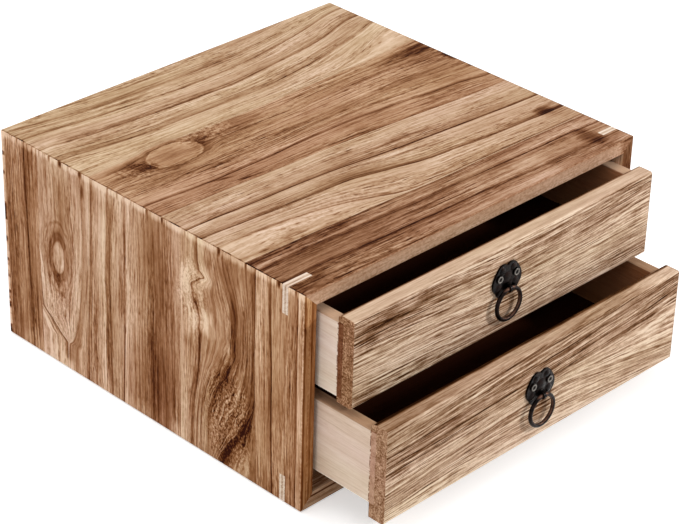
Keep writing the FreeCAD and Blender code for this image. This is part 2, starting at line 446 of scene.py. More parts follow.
def grainOf(tree, look, point, bed, flow):
    length, share, crispness = look["length"], wood["crispShare"], wood["crispness"]
    fibre = crisp(tree, noiseAt(tree, bed, "fibre", length), crispness["fibre"])
    fine = crisp(tree, noiseAt(tree, bed, "fine", length), crispness["fine"])
    specks = crisp(tree, noiseAt(tree, point, "specks"), crispness["specks"])
    layers = ((noiseAt(tree, bed, "streak"), look["streak"]), (fibre, look["fibre"] * share),
              (fine, look["fine"] * share), (specks, look["specks"]))
    parts = [swing(tree, layer, weight) for layer, weight in layers]
    pores = noiseAt(tree, bed, "pores", length)
    poreDepth = remap(tree, pores, *wood["poreRange"], 0.0, look["pores"])
    grain = addUp(tree, *parts, times(tree, poreDepth, -1.0), hairLines(tree, bed, look))
    calm = remap(tree, noiseAt(tree, bed, "calm"), *wood["calmRange"], *look["calm"])
    grain = addUp(tree, times(tree, grain, calm), fineRings(tree, bed, flow, look),
                  swing(tree, noiseAt(tree, point, "mottle"), look["mottle"]))
    pits = times(tree, poreDepth, wood["poreRelief"])
    return grain, minus(tree, calc(tree, "ADD", fibre, fine), pits)


def drawKnots(tree, look, fields, grain, tone):
    for knot, field in zip(look["knots"], fields):
        reach = knot["reach"]
        rings = rampOf(tree, calc(tree, "DIVIDE", field, reach),
                       [(d / reach, t) for d, t in knot["tones"]], colours=False)
        rings = calc(tree, "MULTIPLY_ADD", grain, wood["knotGrain"], rings)
        inside = remap(tree, field, reach, knot["solid"], style="SMOOTHSTEP")
        tone = mixFloat(tree, inside, tone, rings)
    return tone


def drawMarks(tree, look, point, ragged, tone):
    level = vectorCalc(tree, "MULTIPLY", point, (1.0, 1.0, 0.0))
    wander = noiseAt(tree, point, "wander")
    middle = -wood["wanderMiddle"]
    for u, v, halfU, halfV, weight, *tilt in look["marks"]:
        shifted = vectorCalc(tree, "SUBTRACT", level, (u, v, 0.0))
        if tilt:
            pieces = parted(tree, shifted)
            raised = calc(tree, "MULTIPLY_ADD", pieces[0], -tilt[0], pieces[1])
            shifted = joined(tree, pieces[0], raised)
        shrunk = vectorCalc(tree, "MULTIPLY", shifted, (1 / halfU, 1 / halfV, 0.0))
        reach = addUp(tree, vectorCalc(tree, "LENGTH", shrunk), wander, middle)
        mark = remap(tree, reach, *wood["markFade"], weight, 0.0, "SMOOTHSTEP")
        tone = calc(tree, "ADD", tone, mark)
    for at, half, scale, weight in look["curls"]:
        field = addUp(tree, knotField(tree, at, half, level, ragged), wander, middle)
        stretch, *detail = wood["curlNoise"]
        curls = noiseAt(tree, level, (scale, scale * stretch, scale, *detail))
        curls = crisp(tree, curls, wood["crispness"]["curls"])
        curls = minus(tree, curls, wood["curlMiddle"])
        patch = remap(tree, field, *wood["curlFade"], weight, 0.0, "SMOOTHSTEP")
        tone = calc(tree, "MULTIPLY_ADD", curls, patch, tone)
    return tone


def wornEdge(tree, nick, place, tone):
    axis, limit, side, depth, lift, runAxis, notches, *gate = nick
    reach = times(tree, minus(tree, place["axes"][axis], limit), side)
    run = joined(tree, place["axes"][runAxis], limit)
    rim = swing(tree, noiseAt(tree, run, "nickRim"), depth)
    near = remap(tree, addUp(tree, reach, rim), -depth, -depth * wood["nickCore"])
    if gate:
        near = times(tree, near, beyond(tree, place, *gate[0]))
    cuts = noiseAt(tree, run, "nickCuts")
    cuts = remap(tree, cuts, *wood["nickRange"], lift, -notches)
    return calc(tree, "MULTIPLY_ADD", near, cuts, tone)


def bandAt(tree, band, place, tone):
    axis, middle, half, shift, dotted, *gate = band
    off = calc(tree, "ABSOLUTE", minus(tree, place["axes"][axis], middle))
    near = remap(tree, off, half * wood["bandCore"], half, shift, 0.0)
    if dotted:
        dots = noiseAt(tree, place["point"], "dots")
        near = times(tree, near, remap(tree, dots, *wood["dotRange"]))
    if gate:
        near = times(tree, near, beyond(tree, place, *gate[0]))
    return calc(tree, "ADD", tone, near)


def endGrain(tree, ends, place, tone):
    axis, limit, base, grit, *gate = ends
    if gate:
        inside = beyond(tree, place, *gate[0])
    else:
        start, full = wood["endFade"]
        off = calc(tree, "ABSOLUTE", place["axes"][axis])
        inside = remap(tree, off, limit - start, limit - full)
    spots = joined(tree, place["axes"]["y"], place["axes"]["z"])
    coarse = swing(tree, noiseAt(tree, spots, "endCoarse"), wood["endCoarse"])
    fine = swing(tree, noiseAt(tree, spots, "endFine"), grit)
    return mixFloat(tree, inside, tone, addUp(tree, coarse, fine, base))


def drawEdges(tree, look, place, tone):
    for nick in look["nicks"]:
        tone = wornEdge(tree, nick, place, tone)
    for axis, limit, side, level, keep in look["flats"]:
        plain = calc(tree, "MULTIPLY_ADD", minus(tree, tone, level), keep, level)
        past = beyond(tree, place, axis, limit, side, wood["flatBlur"])
        tone = mixFloat(tree, past, tone, plain)
    for band in look["bands"]:
        tone = bandAt(tree, band, place, tone)
    if "ends" in look:
        tone = endGrain(tree, look["ends"], place, tone)
    return tone


def colourOf(tree, look, place, bed, tone, cast):
    colour = rampOf(tree, tone, look["palette"])
    drift = remap(tree, noiseAt(tree, bed, "tint"), *wood["tintRange"])
    tint = mixColour(tree, drift, *(hue(code) for code in wood["tints"]))
    colour = mixColour(tree, 1.0, colour, tint, "MULTIPLY")
    colour = mixColour(tree, 1.0, colour, cast, "MULTIPLY")
    for axis, limit, side, code in look["tints"]:
        past = beyond(tree, place, axis, limit, side)
        colour = mixColour(tree, past, colour, hue(code), "MULTIPLY")
    return colour


def woodFinish(name, ownLook):
    finish, tree, shader = newFinish(name)
    look = {**plainLook, **ownLook}
    place = placesOn(tree, look)
    point = place["point"]
    ragged = remap(tree, noiseAt(tree, point, "ragged"), *wood["raggedRange"])
    height, fields = bentHeight(tree, look, place, ragged)
    tone, flow, cast = layStrips(tree, look, place, height)
    bed = joined(tree, place["along"], flow, place["depth"])
    grain, relief = grainOf(tree, look, point, bed, flow)
    tone = addUp(tree, tone, grain, look["lift"])
    tone = drawKnots(tree, look, fields, grain, tone)
    tone = drawMarks(tree, look, point, ragged, tone)
    tone = drawEdges(tree, look, place, tone)
    feed(tree, shader.inputs["Base Color"], colourOf(tree, look, place, bed, tone, cast))
    feed(tree, shader.inputs["Roughness"], remap(tree, grain, *wood["roughness"]))
    shader.inputs["Specular IOR Level"].default_value = wood["gloss"]
    roughen(tree, shader, relief, wood["bump"])
    return finish


# A strip is the wood between two joins of the staves. Its guides are ring lines, each with its
# points and the tones before, on and after the line. All lengths are in millimetres.
# marks: middle, half size, shift of tone, tilt; curls: middle, half size, scale, weight
# burls: middle, half size, push, scale; flats: axis, limit, side, tone, share kept
# nicks: axis, limit, side, depth, lift, axis of the run, notches
# bands: axis, middle, half width, shift of tone, dotted; tints: axis, limit, side, colour
# a bracket at the end of a nick, a band or the ends keeps it to one side of a limit

frontEdge = ("y", -122.6, -1)
lyingBoard = {"axes": "xyz", "span": (-131, 131), "rise": (-140, 140)}
sideBoard = {"axes": "zyx", "span": (0, 134), "rise": (-140, 140)}
rearBoard = {"axes": "xzy", "span": (-131, 131), "rise": (-10, 145), "lean": 0.5}
caseGrain = {"lean": 0.9, "streak": 0.44, "fibre": 0.62, "fine": 0.42, "hairs": (3, 0.1)}

# case top
topJoins = [
    [(-130, -78.5), (-80, -80), (-30, -81.5), (7, -83.5), (57, -84), (130, -86)],
    [(-130, -13), (-90, -14.5), (-20, -17), (10, -18.2), (70, -22.7), (130, -26.2)],
    [(-130, 46.7), (-60, 47), (0, 46), (80, 47.5), (130, 49)],
]
caseTopLook = {
    **lyingBoard, **caseGrain, "face": 134, "lift": -0.03, "rings": (3.6, 0.2),
    "casts": ["FEFAFF", "FEFEFF", "FFF8F5", "FEFFFC"],
    "strips": [
        {"line": 1.5, "fade": (-0.1, 0.09), "guides": [
            ([(-131, -124)], (0.4, 0.3, 0.4)),
            ([(-130, -118), (-55, -120.7), (44, -121.5), (130, -122)], (0.44, 0.52, 0.58)),
            ([(-113, -106.2), (-55, -107.5), (0, -109), (45, -110.7), (95, -112.5), (130, -113)],
             (0.37, 0.19, 0.54)),
            ([(-130, -89), (-68, -91.5), (-5, -94), (57, -95), (107, -96.5), (130, -98)],
             (0.43, 0.18, 0.59)),
            (topJoins[0], (0.39, 0.2, 0.6)),
        ]},
        {"line": 1.3, "fade": (0, -0.02), "guides": [
            (topJoins[0], (0.45, 0.04, 0.81)),
            ([(-130, -57.5), (-93, -59), (-68, -62.5), (-48, -67.5), (-30, -74.5), (-18, -79.5),
              (-5, -82), (57, -83.3), (130, -85.3)], (0.81, 0.47, 0.69)),
            ([(-130, -45.2), (-105, -47), (-55, -50), (-25, -52), (-5, -56.5), (20, -62.5),
              (45, -65.7), (70, -68.2), (95, -69.5), (130, -71)], (0.82, 0.24, 0.56)),
            ([(-130, -33.2), (-80, -35), (-30, -37.7), (0, -40.7), (45, -45), (82, -47.7),
              (130, -50.7)], (0.79, 0.18, 0.64)),
            (topJoins[1], (0.8, 0.3, 0.8)),
        ]},
        {"line": 1.2, "fade": (-0.01, -0.05), "guides": [
            (topJoins[1], (0.8, 0.04, 0.56)),
            ([(-130, 1.2), (-93, -2), (-48, -2.5), (-5, -1), (32, -2), (70, -5.7), (107, -10),
              (130, -14)], (0.6, 0.23, 0.67)),
            ([(-130, 16), (-60, 15), (0, 14), (60, 15), (130, 12)], (0.55, 0.5, 0.63)),
            ([(-130, 29), (0, 28), (60, 29), (130, 27)], (0.66, 0.64, 0.62)),
            (topJoins[2], (0.64, 0.4, 0.6)),
        ]},
        {"line": 1.6, "soft": 0.006, "fade": (-0.02, 0.02), "guides": [
            (topJoins[2], (0.6, 0.6, 0.79)),
            ([(-130, 50), (0, 49), (60, 50.5), (95, 59), (110, 64.5), (130, 70)],
             (0.79, 0.68, 0.82)),
            ([(-130, 71.7), (-88, 66), (-43, 63.7), (0, 62.7), (45, 64.7), (87, 73), (119, 80.5),
              (130, 83.5)], (0.76, 0.45, 0.63)),
            ([(-130, 88.5), (-110, 86.2), (-80, 83), (-43, 80.5), (0, 78.7), (45, 81.7), (82, 86.7),
              (130, 97.2)], (0.86, 0.39, 0.66)),
            ([(-130, 104.2), (-80, 98.5), (-30, 94.7), (0, 93.7), (45, 96.2), (82, 102.5),
              (130, 111.7)], (0.84, 0.45, 0.75)),
            ([(-130, 117), (-105, 113), (-55, 107.5), (0, 105.5), (45, 106.7), (95, 113),
              (130, 118)], (0.7, 0.48, 0.73)),
            ([(-130, 126), (-55, 118), (0, 115.5), (45, 117), (130, 126)], (0.72, 0.65, 0.71)),
            ([(-131, 135)], (0.7, 0.5, 0.7)),
        ]},
    ],
    "curls": [((-48, 42), (22, 9), 0.4, 0.4), ((-105, 34), (18, 10), 0.4, 0.34),
              ((-60, -66), (60, 7), 0.35, 0.16)],
    "knots": [{"at": (-78.5, 35), "half": (20, 11.2), "reach": 1.75, "solid": 1.1, "push": 0.45,
               "tones": [(0, 0.4), (0.25, 0.48), (0.6, 0.55), (0.86, 0.56), (0.94, 0.66), (1, 0.34),
                         (1.1, 0.42), (1.3, 0.52), (1.75, 0.6)]}],
    "marks": [
        (-86, -61, 34, 6.1, 0.17), (10, -18, 31, 7.8, -0.16), (-80, 48, 18, 7, 0.16),
        (-129, 120, 17, 5.2, 0.16), (99, 35, 34, 6.1, -0.15), (-129, -88, 31, 7.8, 0.17),
        (-129, -32, 23, 8.7, 0.17), (-53, -79, 25, 7, -0.16), (116, 79, 24, 10.4, 0.16),
        (-129, 90, 25, 7.8, 0.25), (120, -73, 18, 8.7, -0.19), (-129, 15, 17, 11.3, 0.18),
        (-51, 41, 36, 9.6, 0.18), (-81, 80, 34, 6.1, -0.18), (-108, -79, 60, 12.2, -0.18),
        (59, -109, 19, 15.7, 0.17), (25, -121, 58, 3.5, 0.17), (-106, -16, 37, 7.8, -0.17),
        (-101, 35, 12, 9, -0.24, -0.2), (-54, 40, 12, 9, -0.3, 0.2), (-34, 41, 36, 9, -0.14),
        (-116, 32, 20, 6, -0.14), (-104, 42, 14, 4, -0.18, 0.2), (-80, 47, 24, 2.5, -0.12),
        (114, 39, 38, 7.5, -0.34), (118, 26, 28, 15, -0.18), (131, 20, 6, 10, -0.55),
        (-78, -4, 12, 1.6, -0.3, -0.25), (-68, -11.5, 8, 1.3, -0.42, -0.12),
        (116.5, -67, 9, 7, -0.4), (111, -107, 10, 15, -0.34), (-88, -73, 30, 3.5, -0.16),
        (-60, 9, 60, 6, -0.1), (118, 60, 20, 12, 0.1), (-120, -112, 26, 10, -0.12),
        (68, -98, 22, 12, 0.1), (-97, 22, 30, 9, -0.14), (-40, 28, 34, 14, -0.12),
        (-110, 42, 14, 6, -0.14),
    ],
    "flats": [("y", -122.7, -1, 0.78, 0.35)],
    "bands": [("z", 126.4, 1.4, 0.08, 1, frontEdge), ("z", 133.4, 0.9, -0.14, 1, frontEdge),
              ("x", 128, 10, -0.34, 0, frontEdge), ("z", 129.5, 4.5, 0.1, 1, frontEdge)],
    "tints": [("y", -122.7, -1, "FFFCFA")],
    "nicks": [("x", -130.4, -1, 1, -0.25, "y", 0.75),
              ("y", 122.8, 1, 1.2, 0, "x", 0.25, ("z", 133.2, 1)),
              ("x", 130.4, 1, 1, -0.25, "y", 0.6)],
}
dress("case_top", woodFinish("topBoardWood", caseTopLook))
print("top board dressed")

# case left wall
wallJoins = [
    [(0, -89.2), (72, -86.7), (134, -87.2)],
    [(0, -28.3), (134, -28)],
    [(0, 68.5), (17, 67.5), (20, 64.5), (29, 60.7), (46, 57), (71, 54.5), (96, 53.2), (134, 54.5)],
]
leftWallLook = {
    **sideBoard, **caseGrain, "face": -130.5, "sway": 1.6, "palette": wallTones, "rings": (4, 0.22),
    "casts": ["FFFBF3", "FFFEF9", "FFFCFB", "FFFDFD", "FFF8F3"],
    "curls": [((30, -67), (36, 20), 0.55, 0.52), ((97, -38), (26, 14), 0.5, 0.3),
              ((40, 76), (26, 14), 0.45, 0.22)],
    "burls": [((45, -66), (52, 16), 5, 0.1), ((96, -46), (30, 15), 4, 0.12),
              ((72, 74), (50, 20), 3, 0.12)],
    "strips": [
        {"line": 1, "fade": (-0.06, 0.07), "guides": [
            ([(0, -125)], (0.6, 0.3, 0.56)),
            ([(0, -118.5), (134, -118)], (0.76, 0.3, 0.54)),
            ([(0, -101), (60, -99.5), (134, -98)], (0.57, 0.04, 0.55)),
            (wallJoins[0], (0.66, 0.2, 0.6)),
        ]},
        {"line": 1.6, "fade": (0.07, -0.07), "guides": [
            (wallJoins[0], (0.6, 0.04, 0.41)),
            ([(0, -58), (9, -63), (22.7, -72), (34, -79), (46.5, -85), (60, -86.4), (134, -86.8)],
             (0.14, 0.24, 0.57)),
            ([(4, -50.5), (24, -50.5), (36.5, -53), (46.5, -57.5), (56.5, -64.2), (66.5, -69.2),
              (79, -71.7), (94, -71.7), (106.5, -69.2), (119, -64.2), (130, -61.7)],
             (0.49, 0.34, 0.57)),
            ([(4, -45), (36, -47), (52, -51), (66, -58), (80, -62), (95, -61), (110, -56),
              (134, -50)], (0.47, 0.47, 0.53)),
            ([(4, -37.5), (34, -40), (51.5, -43), (71.5, -43.7), (86.5, -43), (96.5, -38.5),
              (102.7, -38), (109, -43.5), (111.5, -46.7), (115, -43.5), (130, -41.7)],
             (0.59, 0.2, 0.65)),
            (wallJoins[1], (0.68, 0.4, 0.7)),
        ]},
        {"line": 1.2, "fade": (-0.05, 0.05), "guides": [
            (wallJoins[1], (0.7, 0.52, 0.62)),
            ([(0, -17), (134, -16)], (0.42, 0.4, 0.41)),
            ([(0, -5), (60, -6), (134, -7)], (0.4, 0.41, 0.42)),
            ([(0, 6), (134, 5)], (0.6, 0.57, 0.58)),
            ([(0, 20), (60, 17.5), (134, 16.2)], (0.81, 0.34, 0.71)),
            ([(0, 29.5), (70, 30), (134, 27)], (0.59, 0.3, 0.51)),
            ([(0, 32.4), (70, 33), (134, 31)], (0.5, 0.38, 0.84)),
            ([(0, 50), (30, 49.5), (70, 47), (134, 44)], (0.53, 0.31, 0.79)),
            (wallJoins[2], (0.51, 0.3, 0.6)),
        ]},
        {"line": 1, "fade": (0.08, -0.08), "guides": [
            (wallJoins[2], (0.7, 0.04, 0.73)),
            ([(0, 69), (17, 68.6), (21.5, 74.5), (27.7, 82), (34, 90), (134, 93)],
             (0.8, 0.33, 0.78)),
            ([(0, 97), (134, 97)], (0.85, 0.5, 0.7)),
        ]},
        {"line": 1.2, "fade": (-0.02, 0.02), "guides": [
            ([(0, 91), (134, 91)], (0.6, 0.34, 0.62)),
            ([(0, 100), (134, 103)], (0.38, 0.21, 0.52)),
            ([(0, 111), (134, 112)], (0.55, 0.48, 0.48)),
            ([(0, 119), (134, 119)], (0.4, 0.42, 0.68)),
            ([(0, 125)], (0.66, 0.5, 0.6)),
        ]},
    ],
    "knots": [{"at": (71, 75), "half": (15.5, 8), "reach": 2.2, "solid": 1.25, "push": 0.35,
               "tones": [(0, 0.66), (0.45, 0.72), (0.62, 0.64), (0.72, 0.28), (0.88, 0.36),
                         (1, 0.3), (1.15, 0.52), (1.35, 0.62), (1.48, 0.42), (1.6, 0.62),
                         (1.85, 0.5), (2.2, 0.62)]}],
    "marks": [
        (111, -43, 28, 7, 0.15), (116, -74, 25, 7.8, 0.15), (106, 70, 27, 10.4, -0.14),
        (130, 32, 10, 22, 0.14), (2, 69, 10, 8.7, 0.16), (2, 31, 9, 7.8, 0.15),
        (130, -50, 9, 22, 0.15), (2, 5, 10, 15.7, 0.15), (3, -73, 17, 14.8, 0.28),
        (2, 69, 9, 9.6, 0.27), (2, -26, 12, 9.6, 0.2), (53, -68, 18, 6.1, -0.2),
        (18, -76, 17, 11.3, 0.19), (69, 70, 23, 5.2, 0.19), (2, 101, 16, 14.8, 0.18),
        (71, -36, 31, 6.1, -0.18), (130, 114, 10, 11.3, 0.16), (12, 81, 19, 7.8, -0.16),
        (55, -60, 24, 8, -0.34, -0.34), (24, -73.5, 27, 5.5, -0.12, -0.59),
        (100, -71, 36, 4.5, -0.22), (75, -71, 20, 6, -0.16), (101, -34, 20, 10, 0.34),
        (112, -50, 12, 8, 0.26), (84, -44, 13, 14, 0.4), (78, -36, 14, 8, 0.18),
        (40, -7, 62, 10, -0.17), (90, -58, 30, 8, 0.1), (20, -64, 34, 20, -0.16),
        (60, -80, 60, 8, -0.12), (50, -24, 50, 5, -0.1), (10, 78, 12, 12, 0.08),
        (122, 52, 7, 1.6, -0.4),
    ],
    "flats": [("y", -122.7, -1, 0.38, 0.55)],
    "tints": [("y", -122.7, -1, "FFF6DE")],
    "nicks": [("z", 133.9, 1, 4.4, 0.3, "y", 0.6),
              ("y", 122.6, 1, 2.4, 0.24, "z", 0.6, ("x", -129.6, -1))],
    "bands": [("x", -129.8, 0.8, -0.24, 0, frontEdge), ("x", -121.5, 0.9, -0.25, 0),
              ("y", -122.2, 0.8, 0.12, 1), ("x", -126.6, 1, -0.08, 1, frontEdge)],
}
dress("case_left", woodFinish("leftWallWood", leftWallLook))
print("left wall dressed")

# drawer fronts
frontGrain = {
    "axes": "xzy", "span": (-119, 119), "lean": 0.3, "sway": 1, "palette": frontTones,
    "fibre": 1.15, "specks": 0.1, "length": 1.6, "calm": (0.8, 1.2), "pores": 0.16, "mottle": 0.28,
}
upperFrontLook = {
    **frontGrain, "face": -146.8, "rise": (60, 135), "streak": 0.28, "fine": 1.3,
    "rings": (2, 0.38), "waver": 1.1, "hairs": (5, 0.1), "lift": 0.02,
    "flats": [("z", 123.8, 1, 0.79, 0.25)],
    # the first band is painted shade along the rear arris of the top edge
    "bands": [("y", -136.6, 1.8, -0.5, 0, ("z", 121.9, 1)),
              ("y", -146.2, 0.5, 0.05, 0, ("z", 123.6, 1))],
    "strips": [{"line": 0.7, "fade": (-0.03, 0.03), "guides": [
        ([(-119, 70)], (0.66, 0.5, 0.66)),
        ([(-119, 77), (-60, 76), (0, 75), (60, 75.5), (119, 77)], (0.63, 0.42, 0.63)),
        ([(-119, 83), (-60, 81), (0, 79.5), (60, 80.5), (119, 82)], (0.62, 0.54, 0.7)),
        ([(-119, 91), (-60, 89), (0, 86.5), (60, 87), (119, 88)], (0.7, 0.57, 0.71)),
        ([(-119, 99), (-60, 97), (0, 94), (60, 94), (119, 95)], (0.66, 0.49, 0.72)),
        ([(-119, 106), (-90, 105.5), (-50, 103), (0, 100.5), (60, 101.5), (119, 104)],
         (0.71, 0.5, 0.62)),
        ([(-119, 110), (-90, 111), (-50, 109), (0, 107), (60, 108.5), (119, 112)],
         (0.68, 0.41, 0.6)),
        ([(-119, 118), (-60, 117), (0, 114), (60, 115.5), (119, 118)], (0.55, 0.46, 0.65)),
        ([(-119, 122), (-60, 121), (0, 118.5), (60, 119.5), (119, 121.7)], (0.67, 0.35, 0.73)),
        ([(-119, 130)], (0.7, 0.5, 0.7)),
    ]}],
    "marks": [
        (100, 122, 28, 3.5, -0.1), (-35, 83, 33, 7, 0.1), (-98, 122, 15, 3.5, -0.12),
        # the mark at (-1, 90) is painted shade: a dark patch inside the ring that stands for the
        # shadow the ring casts
        (-66, 109, 16, 6.1, -0.11), (-1, 90, 13, 13, -0.24), (96, 122, 32, 3.5, -0.24),
        (-117, 73, 7, 3.5, -0.13), (74, 115, 21, 7.8, -0.12), (116, 96, 10, 13.9, 0.12),
        (-94, 106, 35, 5.2, -0.12), (-98, 114, 34, 7, -0.3, 0.05), (-60, 119, 22, 4, -0.16),
        (60, 108, 20, 4, -0.14), (-95, 92, 30, 5, 0.1),
    ],
    "ends": ("x", 119, 0.49, 1.5),
    "tints": [("y", -135.95, 1, "3E281C"), ("x", -118.9, -1, "FFEAD8"), ("x", 118.9, 1, "FFEAD8")],
}
dress("upper_drawer_front", woodFinish("upperFrontWood", upperFrontLook))

lowerFrontLook = {
    **frontGrain, "face": -172.5, "rise": (0, 85), "streak": 0.2, "rings": (2.4, 0.34),
    "waver": 0.8, "fine": 1.2, "hairs": (4, 0.1), "lift": -0.02,
    "flats": [("z", 70.4, 1, 0.66, 0.4)],
    # the first band is painted shade along the rear arris of the top edge
    "bands": [("y", -162.4, 2.8, -0.6, 0, ("z", 68.4, 1)), ("x", 119, 36, 0.2, 0, ("z", 70.2, 1)),
              ("x", -119, 70, -0.15, 0, ("z", 70.2, 1))],
    "strips": [{"line": 1.1, "fade": (-0.04, 0.04), "guides": [
        ([(-119, 8)], (0.72, 0.5, 0.74)),
        ([(-119, 20), (-60, 23), (0, 22), (60, 17), (119, 12)], (0.88, 0.71, 0.71)),
        ([(-119, 30), (-60, 34), (-20, 37.5), (13, 38), (56, 32.5), (91, 27), (119, 23)],
         (0.71, 0.46, 0.83)),
        ([(-119, 42.5), (-69, 45), (-19, 45.7), (13, 47), (56, 49), (93, 50.7), (119, 52)],
         (0.66, 0.25, 0.62)),
        ([(-119, 47.5), (-69, 49.5), (-19, 51.5), (31, 53.5), (81, 56.5), (119, 60)],
         (0.48, 0.34, 0.61)),
        ([(-119, 53), (-69, 55), (-19, 57.5), (31, 60), (81, 63), (119, 66.5)], (0.59, 0.33, 0.44)),
        ([(-119, 57), (-69, 60), (-19, 63), (31, 66), (81, 69), (119, 71)], (0.74, 0.43, 0.64)),
        ([(-119, 62), (-60, 66), (0, 69.5), (60, 72), (119, 75)], (0.52, 0.41, 0.74)),
        ([(-119, 80)], (0.7, 0.5, 0.7)),
    ]}],
    "marks": [
        (-117, 13.5, 60, 3.5, 0.13), (-22, 68.5, 60, 3.5, -0.13), (-82, 13.5, 60, 3.5, 0.16),
        # the mark at (2.5, 32) is painted shade: a dark patch inside the ring that stands for the
        # shadow the ring casts
        (-8, 13.5, 56, 3.5, 0.15), (2.5, 32, 13, 13, -0.28), (-111, 13.5, 60, 3.5, 0.25),
        (44, 68.5, 52, 3.5, -0.19), (116, 49.5, 26, 6.1, 0.17), (94, 13.5, 51, 3.5, 0.17),
        (-117, 68.5, 8, 3.5, -0.16), (-92, 25, 22, 5, -0.16),
    ],
    "ends": ("x", 119, 0.56, 1.3),
    "tints": [("y", -161.65, 1, "3E281C"), ("x", -118.9, -1, "FFF0E8"), ("x", 118.9, 1, "FFF0E8")],
}
dress("lower_drawer_front", woodFinish("lowerFrontWood", lowerFrontLook))
print("drawer fronts dressed")

# the other boards of the case
guideSettle = 0.4  # share of its slope that a guide has at mid length


def driftingGuides(low, high, tones, slopes, spread):
    count = len(tones)
    guides = []
    for index, tone in enumerate(tones):
        level = low + (high - low) * index / (count - 1)
        slope = slopes[index % len(slopes)] if 0 < index < count - 1 else 0
        points = [(-spread, level - slope), (0, level + guideSettle * slope),
                  (spread, level + slope)]
        guides.append((points, tone))
    return guides


rightWallLook = {
    **sideBoard, "face": 130.5, "lean": -0.3, "sway": 2,
    "strips": [
        {"line": 1.2, "guides": driftingGuides(
            -125, -52, [(0.5, 0.3, 0.55), (0.62, 0.2, 0.5), (0.66, 0.3, 0.6), (0.7, 0.18, 0.55),
                        (0.6, 0.3, 0.6), (0.6, 0.3, 0.5)], (1.6, -1.2, 2.4), 134)},
        {"line": 1.4, "guides": driftingGuides(
            -52, 18, [(0.5, 0.3, 0.74), (0.86, 0.24, 0.7), (0.84, 0.3, 0.72), (0.8, 0.2, 0.66),
                      (0.7, 0.3, 0.6)], (-2, 3), 134)},
        {"line": 1.2, "guides": driftingGuides(
            18, 84, [(0.5, 0.3, 0.48), (0.58, 0.2, 0.42), (0.52, 0.3, 0.5), (0.6, 0.18, 0.5),
                     (0.6, 0.3, 0.5)], (1.4, 2.2, -1), 134)},
        {"line": 1, "guides": driftingGuides(
            84, 126, [(0.6, 0.3, 0.62), (0.72, 0.22, 0.6), (0.7, 0.3, 0.6)], (1, -1.4), 134)},
    ],
    "marks": [(60, 52, 26, 7, -0.18), (96, -88, 20, 5, -0.16)],
    "flats": [("y", -122.7, -1, 0.09, 0.5)],
    "bands": [("x", 129.9, 0.6, 0.1, 1), ("x", 121.6, 0.6, 0.25, 0)],
    "nicks": [("z", 133.9, 1, 1.6, 0.16, "y", 0.55),
              ("y", 122.6, 1, 2.2, 0.22, "z", 0.55, ("x", 129.6, 1))],
}
dress("case_right", woodFinish("rightWallWood", rightWallLook))

underBoardLook = {
    **lyingBoard, "face": 0, "lean": -0.35,
    "strips": [
        {"line": 1.2, "guides": driftingGuides(
            -125, -40, [(0.6, 0.3, 0.6), (0.7, 0.2, 0.6), (0.72, 0.25, 0.6), (0.7, 0.2, 0.6),
                        (0.6, 0.3, 0.5)], (3, -2), 131)},
        {"line": 1.2, "guides": driftingGuides(
            -40, 44, [(0.6, 0.3, 0.5), (0.56, 0.22, 0.5), (0.6, 0.2, 0.48), (0.56, 0.3, 0.5),
                      (0.6, 0.3, 0.5)], (-2.6, 4), 131)},
        {"line": 1.2, "guides": driftingGuides(
            44, 126, [(0.7, 0.3, 0.74), (0.8, 0.3, 0.7), (0.78, 0.25, 0.7), (0.8, 0.3, 0.7)],
            (4, 2), 131)},
    ],
    "marks": [(40, 4, 24, 6, -0.2)],
    "flats": [("y", -122.7, -1, 0.6, 0.5)],
    "bands": [("z", 7, 0.8, -0.45, 0, ("y", -121, -1))],
}
dress("case_bottom", woodFinish("bottomBoardWood", underBoardLook))

innerLook = {
    **lyingBoard, "face": 70, "lean": 0.8,
    "strips": [{"line": 1, "guides": driftingGuides(
        -126, 126, [(0.5, 0.3, 0.5), (0.6, 0.3, 0.5), (0.6, 0.25, 0.5), (0.6, 0.3, 0.46),
                    (0.56, 0.3, 0.5), (0.6, 0.3, 0.5), (0.5, 0.3, 0.5)], (5, -3, 2), 131)}],
}
for nodeName in ("divider_shelf", "lower_runner_left", "lower_runner_right"):
    dress(nodeName, woodFinish(nodeName + "_wood", innerLook))

backPanelLook = {
    **rearBoard, "face": 118, "sway": 3,
    "strips": [{"line": 0.9, "guides": driftingGuides(
        0, 134, [(0.6, 0.3, 0.66), (0.72, 0.4, 0.62), (0.74, 0.34, 0.64), (0.7, 0.4, 0.6),
                 (0.74, 0.3, 0.66), (0.7, 0.4, 0.6)], (6, 3, -4), 131)}],
}
dress("back_panel", woodFinish("backPanelWood", backPanelLook))
print("case boards dressed")

# keys
keyLook = {
    **rearBoard, "face": -110, "palette": paleTones, "streak": 0.3, "fibre": 0.5, "fine": 0.5,
    "pores": 0.1, "mottle": 0.3,
    "strips": [{"guides": driftingGuides(0, 134, [(0.8, 0.6, 0.84), (0.86, 0.7, 0.8)], (0,), 131)}],
    "bands": [("y", -108.7, 0.9, -0.4, 0), ("y", -110.9, 0.4, -0.4, 0),
              ("y", -106.5, 0.4, -0.4, 0)],
}
keyWood = woodFinish("keyWood", keyLook)
for corner in ("top_left", "top_right", "bottom_left", "bottom_right"):
    dress("corner_key_" + corner, keyWood)
print("keys dressed")

